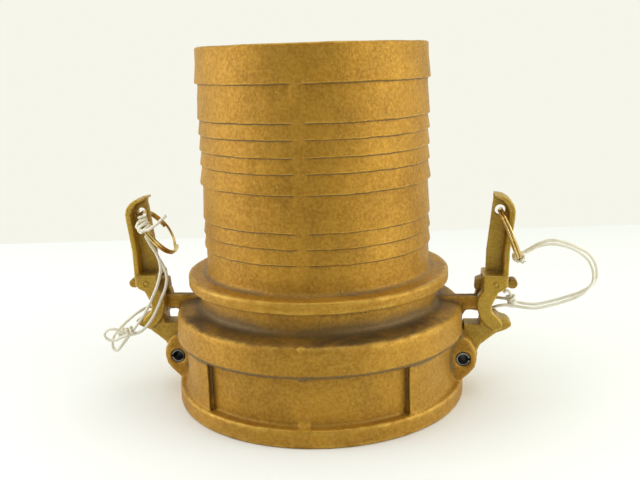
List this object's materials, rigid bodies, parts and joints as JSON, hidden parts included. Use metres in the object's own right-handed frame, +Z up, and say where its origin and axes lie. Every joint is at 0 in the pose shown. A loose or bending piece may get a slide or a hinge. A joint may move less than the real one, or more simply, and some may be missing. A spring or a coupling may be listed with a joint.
{
  "type": "camlock coupling",
  "caption": "Cam and groove hose coupler: bronze socket with a serrated hose shank, locking cam arms, pull rings and tie strings.",
  "frame": {"origin": "centre of the socket's mouth, in the plane of the rim that the adapter enters through", "axes": "+Z up the bore towards the hose shank, X through the two cam arms, Y along the arm pivots"},
  "size_m": [0.3438, 0.2024, 0.2421],
  "materials": {
    "cast_bronze": "sand-cast bronze, tumbled, dull brown patina in the hollows",
    "gasket_rubber": "matt black nitrile rubber",
    "arm_brass": "cast brass, olive brown",
    "finger_brass": "cast brass, darkened",
    "pin_steel": "rolled spring steel",
    "spring_steel": "bright spring wire",
    "ring_brass": "bright plated wire",
    "string_cotton": "twisted off-white cotton twine"
  },
  "bodies": {
    "coupler": {"coupler_body": "cast_bronze", "hose_shank": "cast_bronze", "gasket": "gasket_rubber", "pivot_pin_right": "pin_steel", "pivot_pin_left": "pin_steel"},
    "arm_right": {"cam_arm_right": "arm_brass", "latch_pin_right": "pin_steel", "latch_spring_right": "spring_steel", "tie_string_right": "string_cotton"},
    "arm_left": {"cam_arm_left": "arm_brass", "latch_pin_left": "pin_steel", "latch_spring_left": "spring_steel", "tie_string_left": "string_cotton"},
    "finger_right": {"latch_finger_right": "finger_brass"},
    "finger_left": {"latch_finger_left": "finger_brass"},
    "ring_right": {"pull_ring_right": "ring_brass", "tie_knot_right": "string_cotton"},
    "ring_left": {"pull_ring_left": "ring_brass", "tie_knot_left": "string_cotton"}
  },
  "joints": [
    {"name": "arm_right_swing", "type": "hinge", "parent": "coupler", "child": "arm_right", "pos_m": [0.1005, 0, 0.0284], "axis": [0, 1, 0], "range_deg": [0, 90]},
    {"name": "arm_left_swing", "type": "hinge", "parent": "coupler", "child": "arm_left", "pos_m": [-0.1005, 0, 0.0284], "axis": [0, -1, 0], "range_deg": [0, 90]},
    {"name": "latch_right", "type": "hinge", "parent": "arm_right", "child": "finger_right", "pos_m": [0.1223, 0, 0.0795], "axis": [0, -1, 0], "range_deg": [0, 23], "stiffness_Nm_per_rad": 0.04, "springref_deg": 34.38},
    {"name": "latch_left", "type": "hinge", "parent": "arm_left", "child": "finger_left", "pos_m": [-0.1223, 0, 0.0795], "axis": [0, 1, 0], "range_deg": [0, 23], "stiffness_Nm_per_rad": 0.04, "springref_deg": 34.38},
    {"name": "ring_right_swing", "type": "hinge", "parent": "arm_right", "child": "ring_right", "pos_m": [0.1254, 0, 0.1292], "axis": [0, -1, 0], "range_deg": [0, 60]},
    {"name": "ring_left_swing", "type": "hinge", "parent": "arm_left", "child": "ring_left", "pos_m": [-0.1254, 0, 0.1292], "axis": [0, -1, 0], "range_deg": [0, 60]}
  ]
}
